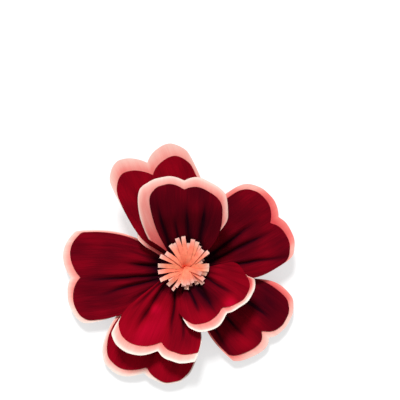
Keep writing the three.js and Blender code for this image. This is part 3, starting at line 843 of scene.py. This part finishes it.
def makeStrip(bm, uvLayer, number, points, twist):
    length = sum((end - start).length for start, end in zip(points, points[1:]))
    heading = (points[3] - points[2]).normalized()
    side = Vector((-heading.y, heading.x, 0)).normalized()
    made = bmesh.ops.create_grid(bm, x_segments=2, y_segments=fringe["steps"], size=1)
    grains = {}
    for vertex in made["verts"]:
        across = vertex.co.x
        along = (vertex.co.y + 1) / 2
        fromTip = (1 - along) * length / fringe["rampLength"]
        grains[vertex] = (number + across * fringe["rampWidth"], 1 - min(fromTip, 1))
        centre, tangent = curvePoint(points, along)
        up = tangent.cross(side).normalized()
        width = mix(fringe["rootWidth"], fringe["stripWidth"], smooth(along, 0, fringe["fullWidthAt"]))
        turned = side * math.cos(twist * along) + up * math.sin(twist * along)
        channel = up * (fringe["hollow"] * (1 - across * across) * along)
        vertex.co = (centre + turned * (across * width / 2) - channel) * mm
    for face in {face for vertex in made["verts"] for face in vertex.link_faces}:
        for loop in face.loops:
            loop[uvLayer].uv = grains[loop.vert]


def makeFringe(material):
    bm = bmesh.new()
    uvLayer = bm.loops.layers.uv.new("grain")
    crown = Vector(fringe["crown"])
    strips = []
    for ring in fringe["rings"]:
        count = ring["count"]
        for index in range(count):
            step, row = fringe["spacingNoise"]
            wobble = noise.noise(Vector((index * step, count, row)))
            step, row = fringe["reachNoise"]
            unevenness = noise.noise(Vector((index * step, count, row)))
            turn = (index + fringe["spacingWobble"] * wobble) * 2 * math.pi / count + count
            reach = ring["reach"] * (1 + fringe["ragged"] * unevenness)
            tip = crown + Vector((math.cos(turn), math.sin(turn))) * reach
            rise = ring["rise"] + fringe["riseWobble"] * wobble
            strips.append((stripCurve(tip, rise, ring["root"]), wobble))
    for x, y, rise, twist, rootRadius in fringe["strips"]:
        strips.append((stripCurve(Vector((x, y)), rise, rootRadius), twist))
    for number, (points, twist) in enumerate(strips):
        makeStrip(bm, uvLayer, number, points, twist)
    thicken(bm, fringe["thickness"])
    piece = newPiece("fringe_strips", bm, material)
    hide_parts("fringed_centre")
    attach(piece, "root")


# Wound roll below the fringe, with the turns of the strip showing on its side
def makeRoll(material):
    bm = bmesh.new()
    radius = roll["radius"]
    top = roll["top"]
    waist = radius - roll["waistDepth"]
    waistFrom, waistTo = roll["waist"]
    profile = (
        (0, neck["foot"]), (roll["footRadius"], neck["foot"]), (waist, waistFrom), (waist, waistTo),
        (radius, roll["waistEnd"]), (radius, top - roll["edge"]), (radius - roll["edge"], top), (0, top),
    )
    points = [bm.verts.new(Vector((out, 0, height)) * mm) for out, height in profile]
    edges = [bm.edges.new(pair) for pair in zip(points, points[1:])]
    bmesh.ops.spin(
        bm, geom=points + edges, cent=(0, 0, 0), axis=(0, 0, 1), angle=2 * math.pi,
        steps=roll["sides"], use_merge=True, use_duplicate=False,
    )
    bmesh.ops.remove_doubles(bm, verts=bm.verts[:], dist=1e-6)
    bmesh.ops.recalc_face_normals(bm, faces=bm.faces[:])
    uvLayer = bm.loops.layers.uv.new("grain")
    turns, row = roll["grain"]
    for face in bm.faces:
        for loop in face.loops:
            loop[uvLayer].uv = (math.atan2(loop.vert.co.y, loop.vert.co.x) * turns, row)
    piece = newPiece("fringe_roll", bm, material)
    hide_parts("fringed_centre")
    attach(piece, "root")


# Coral crepe, a little darker towards the roll as painted shade, and paler at the cut tips: colours from
# the roll to the tip, mottling, and each strip's tint
coralCrepe = {
    # the colours towards the roll are a little darker: painted shade
    "body": (
        (0.0, linear(255, 140, 108)),
        (0.3, linear(255, 146, 114)),
        (0.74, linear(255, 148, 120)),
        (0.84, linear(252, 164, 142)),
        (0.93, linear(246, 182, 166)),
        (1.0, linear(246, 204, 192)),
    ),
    "mottle": ((0.35, linear(240, 234, 234)), (0.6, linear(255, 255, 255))),
    "mottleScale": 420,
    "mottleDetail": 3,
    "tint": (
        (0.38, linear(255, 226, 222)),
        (0.5, linear(255, 246, 244)),
        (0.66, linear(255, 253, 238)),
    ),
    "tintScale": (3.7, 0.4, 1),
    "bump": 0.4,
    "ridgeHeight": 0.0003,
    "roughness": 0.8,
    "specular": 0.1,
}


def fringeMaterial():
    material, nodes, links, shader = shaderNodes("coral crepe")
    grainMap = nodes.new("ShaderNodeUVMap")
    grainMap.uv_map = "grain"
    parts = nodes.new("ShaderNodeSeparateXYZ")
    links.new(grainMap.outputs["UV"], parts.inputs["Vector"])
    body = ramp(nodes, *coralCrepe["body"])
    links.new(parts.outputs["Y"], body.inputs["Fac"])
    coordinates = nodes.new("ShaderNodeTexCoord")
    speckle = noiseNode(nodes, coralCrepe["mottleScale"], coralCrepe["mottleDetail"])
    links.new(coordinates.outputs["Object"], speckle.inputs["Vector"])
    mottle = ramp(nodes, *coralCrepe["mottle"])
    links.new(speckle.outputs["Fac"], mottle.inputs["Fac"])
    perStrip = nodes.new("ShaderNodeMapping")
    perStrip.inputs["Scale"].default_value = coralCrepe["tintScale"]
    links.new(grainMap.outputs["UV"], perStrip.inputs["Vector"])
    stripNoise = noiseNode(nodes, 1)
    links.new(perStrip.outputs["Vector"], stripNoise.inputs["Vector"])
    tint = ramp(nodes, *coralCrepe["tint"])
    links.new(stripNoise.outputs["Fac"], tint.inputs["Fac"])
    tinted = multiplied(nodes, links, body.outputs["Color"], tint.outputs["Color"])
    mottled = multiplied(nodes, links, tinted, mottle.outputs["Color"])
    links.new(mottled, shader.inputs["Base Color"])
    addBump(nodes, links, shader, speckle.outputs["Fac"], coralCrepe["bump"], coralCrepe["ridgeHeight"])
    shader.inputs["Roughness"].default_value = coralCrepe["roughness"]
    shader.inputs["Specular IOR Level"].default_value = coralCrepe["specular"]
    return material


# Stretchy floral tape, wound in overlapping turns
floralTape = {
    "colours": ((0.3, linear(72, 96, 52)), (0.7, linear(104, 130, 78))),
    "turnScale": 95,
    "turnDistortion": 1.5,
    "crepeScale": 900,
    "crepeDetail": 4,
    "bump": 0.5,
    "ridgeHeight": 0.0004,
    "roughness": 0.6,
}


def tapeMaterial():
    material, nodes, links, shader = shaderNodes("floral tape")
    coordinates = nodes.new("ShaderNodeTexCoord")
    turns = nodes.new("ShaderNodeTexWave")
    turns.bands_direction = "Z"
    turns.inputs["Scale"].default_value = floralTape["turnScale"]
    turns.inputs["Distortion"].default_value = floralTape["turnDistortion"]
    links.new(coordinates.outputs["Object"], turns.inputs["Vector"])
    creping = noiseNode(nodes, floralTape["crepeScale"], floralTape["crepeDetail"])
    links.new(coordinates.outputs["Object"], creping.inputs["Vector"])
    colour = ramp(nodes, *floralTape["colours"])
    links.new(creping.outputs["Fac"], colour.inputs["Fac"])
    links.new(colour.outputs["Color"], shader.inputs["Base Color"])
    height = mathNode(nodes, "ADD")
    links.new(turns.outputs["Fac"], height.inputs[0])
    links.new(creping.outputs["Fac"], height.inputs[1])
    addBump(nodes, links, shader, height.outputs["Value"], floralTape["bump"], floralTape["ridgeHeight"])
    shader.inputs["Roughness"].default_value = floralTape["roughness"]
    return material


paintedWire = {
    "colours": ((0.35, linear(58, 84, 46)), (0.75, linear(86, 112, 66))),
    "wearScale": 600,
    "roughness": 0.45,
}


def wireMaterial():
    material, nodes, links, shader = shaderNodes("painted wire")
    coordinates = nodes.new("ShaderNodeTexCoord")
    wear = noiseNode(nodes, paintedWire["wearScale"])
    links.new(coordinates.outputs["Object"], wear.inputs["Vector"])
    colour = ramp(nodes, *paintedWire["colours"])
    links.new(wear.outputs["Fac"], colour.inputs["Fac"])
    links.new(colour.outputs["Color"], shader.inputs["Base Color"])
    shader.inputs["Roughness"].default_value = paintedWire["roughness"]
    return material


def dressNode(name, material):
    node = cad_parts[name]
    node.data.materials.clear()
    node.data.materials.append(material)


# White floor that keeps the flower's shadow
ground = {
    "size": 3,  # metres
    "drop": 0.05,  # below the flat foot of the flower
    "grey": 0.5,
    "roughness": 0.9,
    "specular": 0.1,
    "lift": 0.6,  # glow that only the camera and reflections see
}


def makeFloor():
    material, nodes, links, shader = shaderNodes("floor")
    grey = ground["grey"]
    shader.inputs["Base Color"].default_value = (grey, grey, grey, 1)
    shader.inputs["Roughness"].default_value = ground["roughness"]
    shader.inputs["Specular IOR Level"].default_value = ground["specular"]
    rays = nodes.new("ShaderNodeLightPath")
    seen = mathNode(nodes, "MAXIMUM")
    links.new(rays.outputs["Is Camera Ray"], seen.inputs[0])
    links.new(rays.outputs["Is Glossy Ray"], seen.inputs[1])
    lift = mathNode(nodes, "MULTIPLY", ground["lift"])
    links.new(seen.outputs["Value"], lift.inputs[0])
    shader.inputs["Emission Color"].default_value = (1, 1, 1, 1)
    links.new(lift.outputs["Value"], shader.inputs["Emission Strength"])
    bm = bmesh.new()
    bmesh.ops.create_grid(bm, x_segments=1, y_segments=1, size=ground["size"])
    bmesh.ops.translate(bm, verts=bm.verts[:], vec=(0, 0, -ground["drop"] * mm))
    floor = newPiece("floor", bm, material)


# Soft light from beyond the top of the photograph, and the room around it
light = {
    "elevation": 50,
    "heading": 98,  # the side the light comes from, degrees from +X
    "strength": 2.7,
    "softness": 12,
    "sky": 0.45,
}


def makeLight():
    data = bpy.data.lights.new("window", "SUN")
    data.energy = light["strength"]
    data.angle = math.radians(light["softness"])
    lamp = bpy.data.objects.new("window", data)
    heading = math.radians(light["heading"])
    rise = math.radians(light["elevation"])
    level = math.cos(rise)
    towards = Vector((math.cos(heading) * level, math.sin(heading) * level, math.sin(rise)))
    lamp.rotation_euler = towards.to_track_quat("Z", "Y").to_euler()
    bpy.context.scene.collection.objects.link(lamp)
    world = bpy.data.worlds.new("room")
    world.use_nodes = True
    nodes = world.node_tree.nodes
    links = world.node_tree.links
    nodes.clear()
    output = nodes.new("ShaderNodeOutputWorld")
    room = nodes.new("ShaderNodeBackground")
    room.inputs["Color"].default_value = (1, 1, 1, 1)
    rays = nodes.new("ShaderNodeLightPath")
    brightness = nodes.new("ShaderNodeMapRange")
    brightness.inputs["To Min"].default_value = light["sky"]
    brightness.inputs["To Max"].default_value = 1  # white behind the flower
    links.new(rays.outputs["Is Camera Ray"], brightness.inputs["Value"])
    links.new(brightness.outputs["Result"], room.inputs["Strength"])
    links.new(room.outputs["Background"], output.inputs["Surface"])
    bpy.context.scene.world = world


for ringName in ("inner", "outer"):
    setClawSpans(ringName)
redMaterial = crepeMaterial("red crepe", redCrepe)
pinkMaterial = crepeMaterial("pink crepe", pinkCrepe)
for petal in petals:
    petal["leftTurn"] = touchingTurn(petal, 1)
    petal["rightTurn"] = touchingTurn(petal, -1)
    makePly(petal, False, redMaterial)
    makePly(petal, True, pinkMaterial)
print("petals made:", len(petals))

coralMaterial = fringeMaterial()
makeFringe(coralMaterial)
makeRoll(coralMaterial)
print("fringed centre made")

dressNode("neck_tape", tapeMaterial())
dressNode("binding_wire", wireMaterial())
makeFloor()
makeLight()
bpy.context.scene.view_settings.view_transform = "Standard"
print("neck, floor and light ready")
